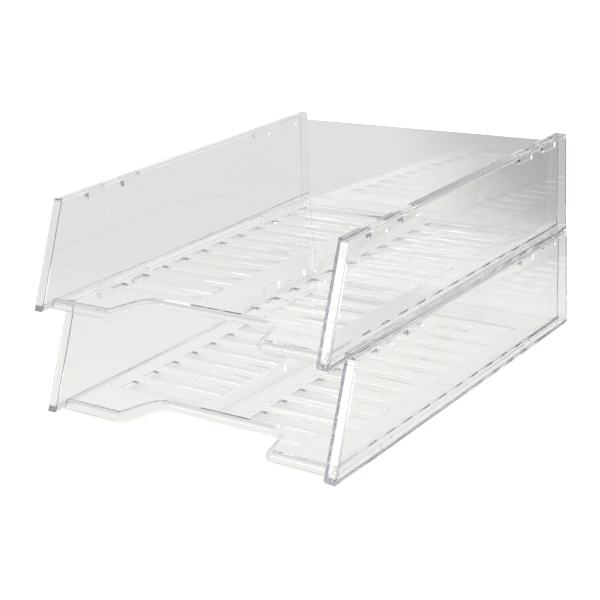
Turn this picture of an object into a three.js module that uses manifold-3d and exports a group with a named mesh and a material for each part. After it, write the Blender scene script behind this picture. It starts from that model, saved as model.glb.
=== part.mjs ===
// Two clear polystyrene letter trays, one stacked on the other.
//
// Each tray is a single injection moulding: a slotted floor with a rolled front lip and a
// finger cut-out, two side walls that are channels open to the outside, and a low back wall.
// Four tabs under the side walls stand in four sockets below the rim of the tray underneath.
//
// Millimetres, +Z up, the user stands at -Y. A tray is drawn in its own frame: x = 0 on the
// centre line, y = 0 at the foot of the front posts, z = 0 under the side walls.

import * as THREE from 'three';
import { mergeVertices } from 'three/addons/utils/BufferGeometryUtils.js';
import Module from 'manifold-3d';

const wasm = await Module();
wasm.setup();

// ---------------------------------------------------------------- driving dimensions

const INNER_HALF_WIDTH = 125;   // takes foolscap, 203 mm, and A4, 210 mm, with finger room
const TRAY_HEIGHT = 79.9;       // underside of the side walls to the top of their rims
const BASE_LENGTH = 347;        // foot of the front posts to the foot of the back wall
const FRONT_SLANT = 34.7;       // how far the top of a front post lies behind its foot
const BACK_LEAN = 3.5;          // how far the top of the back edge lies behind its foot
const STACK_PITCH = 82.1;       // one tray to the next
const WALL = 2;                 // web, rim, floor and back wall thickness

const BASE_OUTER_HALF = 134.6;  // outer edge of a side wall's bottom flange
const RIM_OUTER_HALF = 133.5;   // outer edge of its top flange
const RIM_FALL = 0.8;           // the top flange slopes down to its outer edge by this much
const RIM_EDGE = 2;             // and is this thick there
const BASE_FLANGE = 3;          // bottom flange thickness
const FLANGE_FILLET = 3;        // between web and bottom flange
const BASE_CORNER_RADIUS = 0.8; // side-view corners of a wall at its base
const RIM_CORNER_RADIUS = 2.5;  // and at its rim
const INNER_EDGE_RADIUS = 3;    // front-view corner under a wall's inner face
const POST_EDGE_RADIUS = 1.5;   // upright corner between a post's face and its side
const WINDOW_RADIUS = 1.2;      // inside corners of the channel

const FLOOR_TOP_FRONT = 7.2;    // the floor falls towards the back, so papers stay put
const FLOOR_TOP_BACK = 2;
const LIP_FRONT = 10.3;         // foot of the front lip
const LIP_RADIUS = 5;           // its rolled top edge
const CUTOUT_BACK = 45.6;       // finger cut-out
const CUTOUT_MOUTH_HALF = 67.5;
const CUTOUT_BACK_HALF = 57.5;
const CUTOUT_MOUTH_RADIUS = 8;
const CUTOUT_BACK_RADIUS = 14;

const SLOT_ROWS = 11;
const SLOT_PITCH = 24.4;
const SLOT_LENGTH = 14.6;       // front to back
const FIRST_SLOT_FRONT = 52.6;
const SLOT_INNER = 23.1;        // a slot runs from here out to SLOT_OUTER on either side
const SLOT_OUTER = 104.8;
const SLOT_RADIUS = 1;

const BACK_WALL_TOP = 72.6;

const TAB_LENGTH = 15;
const TAB_THICKNESS = 2.2;
const TAB_DROP = 4.2;           // below the side wall
const TAB_RADIUS = 1.2;
const TAB_CENTRE_X = 128.7;
const TAB_CENTRES_Y = [73.2, 284];
const STEP_BACK = 40;           // second row of sockets, for a stepped stack
const SOCKET_LENGTH = 20;
const SOCKET_OUTER = 131.6;
const SOCKET_DEPTH = 8.3;       // outside, below the rim
const POCKET_LENGTH = 17;
const POCKET_WIDTH = 3;
const TAB_GAP = 0.3;            // under a tab that stands in a pocket

const OVERLAP = 1;              // how deep joined solids run into each other
const BEYOND = 20;              // how far cutters run past the tray
const CLEAR = 0.05;             // keeps the faces of two cutters from lying in one plane
const CURVE_STEPS = 3;
const LIP_STEPS = 6;            // round the lip
const CUTOUT_STEPS = 9;         // round each corner of the cut-out

const topLength = BASE_LENGTH + BACK_LEAN;
const floorFall = (FLOOR_TOP_FRONT - FLOOR_TOP_BACK) / BASE_LENGTH;
const frontSlope = FRONT_SLANT / TRAY_HEIGHT;
const backSlope = BACK_LEAN / TRAY_HEIGHT;
const pocketFloor = STACK_PITCH - TAB_DROP - TAB_GAP;
const rimEdgeTop = TRAY_HEIGHT - RIM_FALL;

// ---------------------------------------------------------------- solids and outlines

function toSolid(geometry) {
  geometry.deleteAttribute('normal');
  geometry.deleteAttribute('uv');
  const merged = mergeVertices(geometry, 1e-4);
  return new wasm.Manifold(new wasm.Mesh({
    numProp: 3,
    vertProperties: new Float32Array(merged.attributes.position.array),
    triVerts: new Uint32Array(merged.index.array),
  }));
}

function toGeometry(solid) {
  const mesh = solid.getMesh();
  const geometry = new THREE.BufferGeometry();
  geometry.setAttribute('position', new THREE.BufferAttribute(mesh.vertProperties, 3));
  geometry.setIndex(new THREE.BufferAttribute(mesh.triVerts, 1));
  return geometry;
}

function joined(solids) {
  return solids.reduce((whole, next) => whole.add(next));
}

// An outline through the given corners, each [u, v, radius].
function outline(corners) {
  const points = corners.map(([u, v]) => new THREE.Vector2(u, v));
  const shape = new THREE.Shape();
  corners.forEach(([, , radius = 0], i) => {
    const corner = points[i];
    const before = points.at(i - 1).clone().sub(corner).normalize();
    const after = points[(i + 1) % points.length].clone().sub(corner).normalize();
    const half = Math.acos(THREE.MathUtils.clamp(before.dot(after), -1, 1)) / 2;
    const reach = radius / Math.tan(half);
    const from = corner.clone().addScaledVector(before, reach);
    const to = corner.clone().addScaledVector(after, reach);
    if (i === 0) shape.moveTo(from.x, from.y);
    else shape.lineTo(from.x, from.y);
    if (radius > 0) {
      const inward = before.clone().add(after).normalize();
      const centre = corner.clone().addScaledVector(inward, radius / Math.sin(half));
      const start = Math.atan2(from.y - centre.y, from.x - centre.x);
      const end = Math.atan2(to.y - centre.y, to.x - centre.x);
      const clockwise = before.cross(after) > 0;
      shape.absarc(centre.x, centre.y, radius, start, end, clockwise);
    }
  });
  shape.closePath();
  return shape;
}

function box(x0, x1, y0, y1, radius = 0) {
  return outline([[x0, y0, radius], [x1, y0, radius], [x1, y1, radius], [x0, y1, radius]]);
}

function extruded(shape, length) {
  const options = { depth: length, bevelEnabled: false, curveSegments: CURVE_STEPS };
  return new THREE.ExtrudeGeometry(shape, options);
}

const X = new THREE.Vector3(1, 0, 0);
const Y = new THREE.Vector3(0, 1, 0);
const Z = new THREE.Vector3(0, 0, 1);

// A side-view outline, (y, z), extruded from x = from to x = to.
function alongX(shape, from, to) {
  const place = new THREE.Matrix4().makeBasis(Y, Z, X).setPosition(from, 0, 0);
  return toSolid(extruded(shape, to - from).applyMatrix4(place));
}

// A front-view outline, (x, z), extruded from y = from to y = to.
function alongY(shape, from, to) {
  const place = new THREE.Matrix4().makeBasis(X, Z, Y.clone().negate()).setPosition(0, to, 0);
  return toSolid(extruded(shape, to - from).applyMatrix4(place));
}

// A plan outline, (x, y), extruded upwards and leaning back by slope.
function alongZ(shape, from, to, slope = 0) {
  const geometry = extruded(shape, to - from).translate(0, 0, from);
  return toSolid(geometry.applyMatrix4(new THREE.Matrix4().makeShear(0, 0, 0, 0, 0, slope)));
}

function mirroredX(solid) {
  const geometry = toGeometry(solid).scale(-1, 1, 1);
  const index = geometry.index.array;
  for (let i = 0; i < index.length; i += 3) {
    [index[i], index[i + 1]] = [index[i + 1], index[i]];
  }
  return toSolid(geometry);
}

// ---------------------------------------------------------------- side wall

// The side view of a tray, each edge moved in by its own amount.
function sideProfile(front, bottom, back, top, baseRadius, rimRadius) {
  const high = TRAY_HEIGHT - top;
  const frontAt = (z) => frontSlope * z + front * Math.hypot(1, frontSlope);
  const backAt = (z) => BASE_LENGTH + backSlope * z - back * Math.hypot(1, backSlope);
  return outline([
    [frontAt(bottom), bottom, baseRadius],
    [backAt(bottom), bottom, baseRadius],
    [backAt(high), high, rimRadius],
    [frontAt(high), high, rimRadius],
  ]);
}

// A right-hand wall as a solid block, its front a slanting post with a rounded upright edge.
function wallBlock() {
  const plan = outline([
    [INNER_HALF_WIDTH - OVERLAP, 0],
    [BASE_OUTER_HALF + CLEAR, 0, POST_EDGE_RADIUS],
    [BASE_OUTER_HALF + CLEAR, topLength + BEYOND],
    [INNER_HALF_WIDTH - OVERLAP, topLength + BEYOND],
  ]);
  const section = outline([
    [INNER_HALF_WIDTH, 0, INNER_EDGE_RADIUS],
    [BASE_OUTER_HALF, 0],
    [BASE_OUTER_HALF, BASE_FLANGE],
    [RIM_OUTER_HALF, rimEdgeTop - RIM_EDGE],
    [RIM_OUTER_HALF, rimEdgeTop],
    [INNER_HALF_WIDTH, TRAY_HEIGHT],
  ]);
  const post = alongZ(plan, -OVERLAP, TRAY_HEIGHT + OVERLAP, frontSlope);
  return post.intersect(alongY(section, -BEYOND, topLength + BEYOND));
}

function flangeFillet() {
  const web = INNER_HALF_WIDTH + WALL;
  const section = new THREE.Shape();
  section.moveTo(web - OVERLAP, BASE_FLANGE - OVERLAP);
  section.lineTo(web + FLANGE_FILLET, BASE_FLANGE - OVERLAP);
  section.lineTo(web + FLANGE_FILLET, BASE_FLANGE);
  section.absarc(web + FLANGE_FILLET, BASE_FLANGE + FLANGE_FILLET, FLANGE_FILLET,
    -Math.PI / 2, -Math.PI, true);
  section.lineTo(web - OVERLAP, BASE_FLANGE + FLANGE_FILLET);
  section.closePath();
  return alongY(section, CLEAR, topLength + BEYOND - CLEAR);
}

function tab(centreY) {
  const halfLength = TAB_LENGTH / 2;
  const side = outline([
    [centreY - halfLength, -TAB_DROP, TAB_RADIUS],
    [centreY + halfLength, -TAB_DROP, TAB_RADIUS],
    [centreY + halfLength, OVERLAP],
    [centreY - halfLength, OVERLAP],
  ]);
  const halfThickness = TAB_THICKNESS / 2;
  return alongX(side, TAB_CENTRE_X - halfThickness, TAB_CENTRE_X + halfThickness);
}

function socketBlock(centreY) {
  const bottom = TRAY_HEIGHT - SOCKET_DEPTH;
  const top = rimEdgeTop - RIM_EDGE + OVERLAP;
  const halfLength = SOCKET_LENGTH / 2;
  const plan = box(INNER_HALF_WIDTH + OVERLAP, SOCKET_OUTER,
    centreY - halfLength, centreY + halfLength);
  return alongZ(plan, bottom, top);
}

function socketPocket(centreY) {
  const halfLength = POCKET_LENGTH / 2;
  const halfWidth = POCKET_WIDTH / 2;
  const plan = box(TAB_CENTRE_X - halfWidth, TAB_CENTRE_X + halfWidth,
    centreY - halfLength, centreY + halfLength);
  return alongZ(plan, pocketFloor, TRAY_HEIGHT + OVERLAP);
}

const socketCentresY = TAB_CENTRES_Y.flatMap((y) => [y, y + STEP_BACK]);

function rightWall() {
  const block = wallBlock();
  const channel = alongX(
    sideProfile(WALL, BASE_FLANGE, WALL, RIM_FALL + RIM_EDGE, WINDOW_RADIUS, WINDOW_RADIUS),
    INNER_HALF_WIDTH + WALL, BASE_OUTER_HALF + BEYOND);
  const fillet = flangeFillet().intersect(block);
  return joined([block.subtract(channel), fillet, ...socketCentresY.map(socketBlock)]);
}

// ---------------------------------------------------------------- floor and back wall

// The plan of the floor, moved in by inset along the lip. It runs past the other three sides.
function floorPlan(inset) {
  const side = INNER_HALF_WIDTH + BEYOND;
  const back = BASE_LENGTH + BEYOND;
  const front = LIP_FRONT + inset;
  const rear = CUTOUT_BACK + inset;
  const mouth = CUTOUT_MOUTH_HALF + inset;
  const bottom = CUTOUT_BACK_HALF + inset;
  const mouthRadius = CUTOUT_MOUTH_RADIUS - inset;
  const bottomRadius = CUTOUT_BACK_RADIUS + inset;
  return outline([
    [-side, front], [-mouth, front, mouthRadius], [-bottom, rear, bottomRadius],
    [bottom, rear, bottomRadius], [mouth, front, mouthRadius],
    [side, front], [side, back], [-side, back],
  ]);
}

// A block under the floor plan whose upper edge is rounded, falling towards the back.
function fallingBlock(inset, top, radius) {
  const geometry = new THREE.ExtrudeGeometry(floorPlan(inset), {
    depth: BEYOND, curveSegments: CUTOUT_STEPS, bevelEnabled: true,
    bevelThickness: radius, bevelSize: radius, bevelOffset: -radius,
    bevelSegments: LIP_STEPS,
  });
  geometry.translate(0, 0, top - radius - BEYOND);
  return toSolid(geometry.applyMatrix4(new THREE.Matrix4().makeShear(0, 0, 0, -floorFall, 0, 0)));
}

function slot(side, row) {
  const front = FIRST_SLOT_FRONT + row * SLOT_PITCH;
  const [x0, x1] = side > 0 ? [SLOT_INNER, SLOT_OUTER] : [-SLOT_OUTER, -SLOT_INNER];
  return alongZ(box(x0, x1, front, front + SLOT_LENGTH, SLOT_RADIUS), -BEYOND, BEYOND);
}

function floor() {
  const outside = fallingBlock(0, FLOOR_TOP_FRONT, LIP_RADIUS);
  const inside = fallingBlock(WALL, FLOOR_TOP_FRONT - WALL, LIP_RADIUS - WALL);
  const halfWidth = INNER_HALF_WIDTH + OVERLAP;
  const limits = alongZ(box(-halfWidth, halfWidth, 0, BASE_LENGTH - OVERLAP), -OVERLAP, BEYOND);
  const slots = [];
  for (const side of [-1, 1]) {
    for (let row = 0; row < SLOT_ROWS; row += 1) slots.push(slot(side, row));
  }
  return outside.subtract(inside).intersect(limits).subtract(joined(slots));
}

function backWall() {
  const innerAt = (z) => BASE_LENGTH - WALL + backSlope * z;
  const side = outline([
    [innerAt(-OVERLAP), -OVERLAP],
    [topLength + OVERLAP, -OVERLAP],
    [topLength + OVERLAP, BACK_WALL_TOP],
    [innerAt(BACK_WALL_TOP), BACK_WALL_TOP],
  ]);
  return alongX(side, -INNER_HALF_WIDTH - OVERLAP, INNER_HALF_WIDTH + OVERLAP);
}

// ---------------------------------------------------------------- the two trays

function trayGeometry() {
  const wall = rightWall();
  const body = joined([wall, mirroredX(wall), floor(), backWall()]);
  const profile = sideProfile(-CLEAR, -CLEAR, 0, -CLEAR, BASE_CORNER_RADIUS, RIM_CORNER_RADIUS);
  const envelope = alongX(profile, -INNER_HALF_WIDTH - BEYOND, INNER_HALF_WIDTH + BEYOND);
  const tabs = joined(TAB_CENTRES_Y.map(tab));
  const pockets = joined(socketCentresY.map(socketPocket));
  return toGeometry(joined([body.intersect(envelope), tabs, mirroredX(tabs)])
    .subtract(pockets).subtract(mirroredX(pockets)));
}

function clearPolystyrene() {
  return new THREE.MeshStandardMaterial({
    color: 0xedf0f5, roughness: 0.08, metalness: 0, transparent: true, opacity: 0.35,
  });
}

const geometry = trayGeometry();
geometry.computeBoundingBox();
const middle = geometry.boundingBox.getCenter(new THREE.Vector3());
const stack = new THREE.Group();
['lower_tray', 'upper_tray'].forEach((name, level) => {
  const tray = new THREE.Mesh(geometry, clearPolystyrene());
  tray.name = name;
  tray.position.set(0, -middle.y, TAB_DROP + level * STACK_PITCH);
  stack.add(tray);
});

export default stack;
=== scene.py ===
# Two clear polystyrene letter trays, one stacked on the other, in a white studio.
# Metres, +Z up, the open fronts face -Y.

import math

import bmesh
import bpy
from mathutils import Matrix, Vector


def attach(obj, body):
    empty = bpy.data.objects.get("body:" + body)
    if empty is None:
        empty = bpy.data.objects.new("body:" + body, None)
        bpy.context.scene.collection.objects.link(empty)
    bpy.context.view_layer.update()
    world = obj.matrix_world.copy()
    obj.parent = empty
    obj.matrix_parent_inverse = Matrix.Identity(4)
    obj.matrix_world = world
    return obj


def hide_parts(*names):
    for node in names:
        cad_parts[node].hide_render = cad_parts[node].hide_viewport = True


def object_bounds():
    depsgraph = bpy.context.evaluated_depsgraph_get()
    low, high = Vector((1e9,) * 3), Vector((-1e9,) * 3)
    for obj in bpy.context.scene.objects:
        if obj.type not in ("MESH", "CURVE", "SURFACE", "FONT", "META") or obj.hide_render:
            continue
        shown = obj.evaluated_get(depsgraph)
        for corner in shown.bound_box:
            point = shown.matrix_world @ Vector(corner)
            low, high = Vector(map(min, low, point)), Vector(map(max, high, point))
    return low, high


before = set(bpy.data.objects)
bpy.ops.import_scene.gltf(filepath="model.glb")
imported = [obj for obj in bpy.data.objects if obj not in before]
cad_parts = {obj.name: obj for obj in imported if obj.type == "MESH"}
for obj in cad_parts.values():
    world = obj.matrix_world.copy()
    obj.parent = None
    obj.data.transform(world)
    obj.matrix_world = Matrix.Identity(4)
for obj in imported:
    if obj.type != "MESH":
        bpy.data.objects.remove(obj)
cad_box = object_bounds()

MM = 0.001


# ------------------------------------------------------------------ nodes

def feed(tree, socket, value):
    """Links the socket to the value, or sets it when the value is a plain one."""
    if isinstance(value, bpy.types.NodeSocket):
        tree.links.new(value, socket)
    else:
        socket.default_value = value


def add_node(tree, kind, inputs, **settings):
    node = tree.nodes.new("ShaderNode" + kind)
    for name, value in settings.items():
        setattr(node, name, value)
    for name, value in inputs.items():
        feed(tree, node.inputs[name], value)
    return node


def maths(tree, operation, a, b=0.0):
    return add_node(tree, "Math", {0: a, 1: b}, operation=operation).outputs[0]


def map_range(tree, value, start, end, start_level, end_level, **settings):
    inputs = {"Value": value, "From Min": start, "From Max": end,
              "To Min": start_level, "To Max": end_level}
    return add_node(tree, "MapRange", inputs, **settings).outputs["Result"]


def fade(tree, *ranges):
    return map_range(tree, *ranges, interpolation_type="SMOOTHSTEP")


# ------------------------------------------------------------------ camera

CAMERA_AT = Vector((638.5, -866.0, 435.0)) * MM
CAMERA_AZIMUTH = math.radians(37.459)       # from -Y towards +X
CAMERA_ELEVATION = math.radians(19.398)
CAMERA_ROLL = math.radians(-4.144)
CAMERA_SHIFT = (0.0145, 0.0084)
SENSOR_WIDTH = 36
LENS = 85.88
CAMERA_REACH = 100


def make_camera():
    data = bpy.data.cameras.new("camera")
    data.sensor_width = SENSOR_WIDTH
    data.lens = LENS
    data.shift_x, data.shift_y = CAMERA_SHIFT
    data.clip_end = CAMERA_REACH
    camera = bpy.data.objects.new("camera", data)
    bpy.context.scene.collection.objects.link(camera)

    back = Vector((math.sin(CAMERA_AZIMUTH) * math.cos(CAMERA_ELEVATION),
                   -math.cos(CAMERA_AZIMUTH) * math.cos(CAMERA_ELEVATION),
                   math.sin(CAMERA_ELEVATION)))
    level = back.to_track_quat("Z", "Y").to_matrix()
    right = level.col[0] * math.cos(CAMERA_ROLL) + level.col[1] * math.sin(CAMERA_ROLL)
    up = level.col[1] * math.cos(CAMERA_ROLL) - level.col[0] * math.sin(CAMERA_ROLL)
    place = camera.matrix_world.copy()
    for row in range(3):
        place[row][:] = right[row], up[row], back[row], CAMERA_AT[row]
    camera.matrix_world = place
    bpy.context.scene.camera = camera


# ------------------------------------------------------------------ studio

FLOOR_HALF_SIZE = 30
FLOOR_ALBEDO = 0.45
FLOOR_ROUGHNESS = 0.9
FLOOR_GLOW = 0.93            # the floor is lit from below, so shadows on it stay faint
PAINTED_SHADOW_GLOW = 0.76           # painted shadow: less glow under the trays' slots
PAINTED_SHADOW_INSET = (15 * MM, 58 * MM, 20 * MM)    # of that painted shadow at the sides, front and back
PAINTED_SHADOW_FADE = 5 * MM

# The tent round the trays: brightness at each sine of the angle above the horizon. It is
# open overhead, which draws the rounded edges as dark lines.
TENT = ((-1.0, 0.76), (-0.6, 0.89), (-0.39, 0.89), (-0.34, 0.86),
        (-0.285, 0.77), (-0.20, 0.775), (-0.04, 0.80), (0.06, 0.87),
        (0.33, 0.94), (0.65, 0.85), (0.8, 0.25), (1.0, 0.15))
TENT_TINT = (1.0, 0.988, 0.968)

# Two softboxes shine through the tent, and its back is darker at three places. Each is an
# azimuth from +Y towards +X, an elevation, the angles from its middle where it is full and
# where it ends, all in degrees, and its strength.
SOFTBOXES = ((-146.5, 17.5, 5, 9, 2.3), (35, 82, 18, 32, 1.6))
DARK_PATCHES = ((24, -11, 4, 9.5, 0.9), (-24, -10, 4, 9.5, 0.33), (-31, 16.5, 2, 6.5, 0.25))

LIGHT_BOUNCES = 128          # light runs a long way inside clear plastic


def floor_glow_with_painted_shadow(tree):
    """Full glow all over the floor, fading to less in a rectangle under the slots: a painted shadow
    of the trays.
    """
    side, front, back = PAINTED_SHADOW_INSET
    (_, front_edge, _), (side_edge, back_edge, _) = cad_box
    near, far = front_edge + front, back_edge - back
    half_width, half_length = side_edge - side, (far - near) / 2

    position = tree.nodes.new("ShaderNodeTexCoord").outputs["Object"]
    axes = add_node(tree, "SeparateXYZ", {0: position})
    across = maths(tree, "ABSOLUTE", axes.outputs["X"])
    along = maths(tree, "ABSOLUTE", maths(tree, "SUBTRACT", axes.outputs["Y"], (near + far) / 2))
    # painted shadow: the floor glows less in a soft-edged rectangle under the trays
    painted_shadow = maths(tree, "MULTIPLY",
                  fade(tree, across, half_width - PAINTED_SHADOW_FADE, half_width, 1, 0),
                  fade(tree, along, half_length - PAINTED_SHADOW_FADE, half_length, 1, 0))
    return fade(tree, painted_shadow, 0, 1, FLOOR_GLOW, PAINTED_SHADOW_GLOW)


def make_floor():
    size = FLOOR_HALF_SIZE
    mesh = bpy.data.meshes.new("studio_floor")
    mesh.from_pydata([(-size, -size, 0), (size, -size, 0), (size, size, 0), (-size, size, 0)],
                     [], [(0, 1, 2, 3)])
    floor = bpy.data.objects.new("studio_floor", mesh)
    bpy.context.scene.collection.objects.link(floor)
    # The camera sees the floor. Light that has met the trays sees the tent instead.
    floor.visible_transmission = False
    floor.visible_glossy = False

    material = bpy.data.materials.new("studio_white")
    material.use_nodes = True
    tree = material.node_tree
    shader = tree.nodes["Principled BSDF"]
    shader.inputs["Base Color"].default_value = (FLOOR_ALBEDO, FLOOR_ALBEDO, FLOOR_ALBEDO, 1)
    shader.inputs["Roughness"].default_value = FLOOR_ROUGHNESS
    shader.inputs["Specular IOR Level"].default_value = 0
    shader.inputs["Emission Color"].default_value = (*TENT_TINT, 1)
    # the floor's emission carries the painted shadow under the trays
    feed(tree, shader.inputs["Emission Strength"], floor_glow_with_painted_shadow(tree))
    mesh.materials.append(material)


def tent_colour(tree, height):
    ramp = add_node(tree, "ValToRGB", {"Fac": height})
    ramp.color_ramp.interpolation = "EASE"
    stops = ramp.color_ramp.elements
    while len(stops) < len(TENT):
        stops.new(0.5)
    for stop, (sine, level) in zip(stops, TENT):
        stop.position = (sine + 1) / 2
        stop.color = [level * tint for tint in TENT_TINT] + [1]
    return ramp.outputs["Color"]


def patches(tree, direction, places):
    """The strengths of the round soft-edged patches in this direction, added up."""
    together = 0.0
    for azimuth, elevation, full, end, strength in places:
        azimuth, elevation = math.radians(azimuth), math.radians(elevation)
        middle = (math.sin(azimuth) * math.cos(elevation),
                  math.cos(azimuth) * math.cos(elevation),
                  math.sin(elevation))
        dot = add_node(tree, "VectorMath", {0: direction, 1: middle}, operation="DOT_PRODUCT")
        patch = fade(tree, dot.outputs["Value"],
                     math.cos(math.radians(end)), math.cos(math.radians(full)), 0, strength)
        together = maths(tree, "ADD", together, patch)
    return together


def make_world():
    world = bpy.data.worlds.new("studio")
    world.use_nodes = True
    tree = world.node_tree
    direction = tree.nodes.new("ShaderNodeTexCoord").outputs["Generated"]
    axes = add_node(tree, "SeparateXYZ", {0: direction})
    colour = tent_colour(tree, map_range(tree, axes.outputs["Z"], -1, 1, 0, 1))
    kept = maths(tree, "SUBTRACT", 1.0, patches(tree, direction, DARK_PATCHES))
    tent = add_node(tree, "VectorMath", {0: colour, "Scale": kept}, operation="SCALE")
    lit = add_node(tree, "VectorMath", {0: tent.outputs[0], 1: patches(tree, direction, SOFTBOXES)},
                   operation="ADD")
    feed(tree, tree.nodes["Background"].inputs["Color"], lit.outputs[0])
    bpy.context.scene.world = world


def set_light_paths():
    scene = bpy.context.scene
    scene.view_settings.view_transform = "Standard"
    scene.cycles.max_bounces = LIGHT_BOUNCES
    scene.cycles.transmission_bounces = LIGHT_BOUNCES
    scene.cycles.glossy_bounces = LIGHT_BOUNCES
    scene.cycles.caustics_refractive = False
    scene.cycles.caustics_reflective = False


# ------------------------------------------------------------------ material

REFRACTION = 1.59

# Polystyrene is water-white, but light that has run inside it comes out violet-grey.
ABSORPTION = 3.2             # per metre
ABSORBED = (0.90, 0.95, 0.76)

WAVE_SCALE = (18, 7, 24)     # waves per metre across, along and up the moulding
WAVE_DETAIL = 1.5
WAVE_HEIGHT = 0.06 * MM
TINT = ((0.972, 0.970, 0.968, 1), (0.995, 0.992, 0.990, 1))

HAZE_SCALE = 140             # patches per metre
HAZE_DETAIL = 3
HAZE_NOISE = (0.45, 0.75)    # the noise values between which the haze sets in
HAZE = (0.01, 0.05)          # roughness of the clear and of the hazy plastic


def clear_polystyrene():
    material = bpy.data.materials.new("clear_polystyrene")
    material.use_nodes = True
    tree = material.node_tree
    shader = tree.nodes["Principled BSDF"]
    shader.inputs["IOR"].default_value = REFRACTION
    shader.inputs["Transmission Weight"].default_value = 1

    position = tree.nodes.new("ShaderNodeTexCoord").outputs["Object"]
    stretched = add_node(tree, "Mapping", {"Vector": position, "Scale": WAVE_SCALE})
    wave = add_node(tree, "TexNoise", {"Vector": stretched.outputs["Vector"],
                                       "Scale": 1, "Detail": WAVE_DETAIL})
    bump = add_node(tree, "Bump", {"Height": wave.outputs["Fac"], "Distance": WAVE_HEIGHT})
    feed(tree, shader.inputs["Normal"], bump.outputs["Normal"])

    tint = add_node(tree, "ValToRGB", {"Fac": wave.outputs["Fac"]})
    for stop, colour in zip(tint.color_ramp.elements, TINT):
        stop.color = colour
    feed(tree, shader.inputs["Base Color"], tint.outputs["Color"])

    haze = add_node(tree, "TexNoise", {"Vector": position,
                                       "Scale": HAZE_SCALE, "Detail": HAZE_DETAIL})
    feed(tree, shader.inputs["Roughness"],
         map_range(tree, haze.outputs["Fac"], *HAZE_NOISE, *HAZE))

    absorption = add_node(tree, "VolumeAbsorption", {
        "Color": [1 - part for part in ABSORBED] + [1], "Density": ABSORPTION})
    feed(tree, tree.nodes["Material Output"].inputs["Volume"], absorption.outputs["Volume"])
    return material


# ------------------------------------------------------------------ trays

EDGE_RADIUS = 0.3 * MM
EDGE_SEGMENTS = 2
LONG_EDGE = 10 * MM          # edges longer than this are rounded
NARROW_FACE = 0.8 * MM       # but not where the face beside them is narrower than this
CURVED_STRIP = 2.5 * MM      # faces narrower than this belong to curves and are smoothed
SHARP_ANGLE = math.radians(38)
FLAT_ANGLE = math.radians(0.1)
COPLANAR_ANGLE = math.radians(1.5)
WELD = 0.02 * MM
SPECK = 0.001 * MM


def width(face):
    return 2 * face.calc_area() / sum(edge.calc_length() for edge in face.edges)


def flat_faces(form, widths):
    """The wide faces, and the slivers that lie in one plane with them."""
    flat = {face for face in form.faces if widths[face] >= CURVED_STRIP}
    reached = list(flat)
    while reached:
        face = reached.pop()
        for edge in face.edges:
            for other in edge.link_faces:
                if other not in flat and face.normal.angle(other.normal, 0) < COPLANAR_ANGLE:
                    flat.add(other)
                    reached.append(other)
    return flat


def soften_edges(mesh):
    """Joins the facets of each flat face, smooths the curves and rounds the long edges."""
    form = bmesh.new()
    form.from_mesh(mesh)
    bmesh.ops.remove_doubles(form, verts=form.verts, dist=WELD)
    bmesh.ops.dissolve_degenerate(form, edges=form.edges, dist=WELD / 2)
    bmesh.ops.dissolve_limit(form, angle_limit=FLAT_ANGLE, verts=form.verts, edges=form.edges)

    widths = {face: width(face) for face in form.faces}
    flat = flat_faces(form, widths)
    for face in form.faces:
        face.smooth = face not in flat
    rounded = []
    for edge in form.edges:
        if edge.calc_face_angle() < SHARP_ANGLE:
            continue
        edge.smooth = False
        narrowest = min(widths[face] for face in edge.link_faces)
        if edge.calc_length() > LONG_EDGE and narrowest > NARROW_FACE:
            rounded.append(edge)

    bmesh.ops.bevel(form, geom=rounded, affect="EDGES", offset_type="OFFSET", offset=EDGE_RADIUS,
                    segments=EDGE_SEGMENTS, profile=0.5, clamp_overlap=False)
    bmesh.ops.dissolve_degenerate(form, edges=form.edges, dist=SPECK)
    form.to_mesh(mesh)
    form.free()


def make_tray(node, material):
    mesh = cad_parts[node].data.copy()
    mesh.name = node + "_moulding"
    soften_edges(mesh)
    mesh.materials.clear()
    mesh.materials.append(material)
    tray = bpy.data.objects.new(node + "_moulding", mesh)
    bpy.context.scene.collection.objects.link(tray)
    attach(tray, node)
    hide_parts(node)


make_camera()
make_floor()
make_world()
set_light_paths()
polystyrene = clear_polystyrene()
for node in ("lower_tray", "upper_tray"):
    make_tray(node, polystyrene)

bpy.context.view_layer.update()
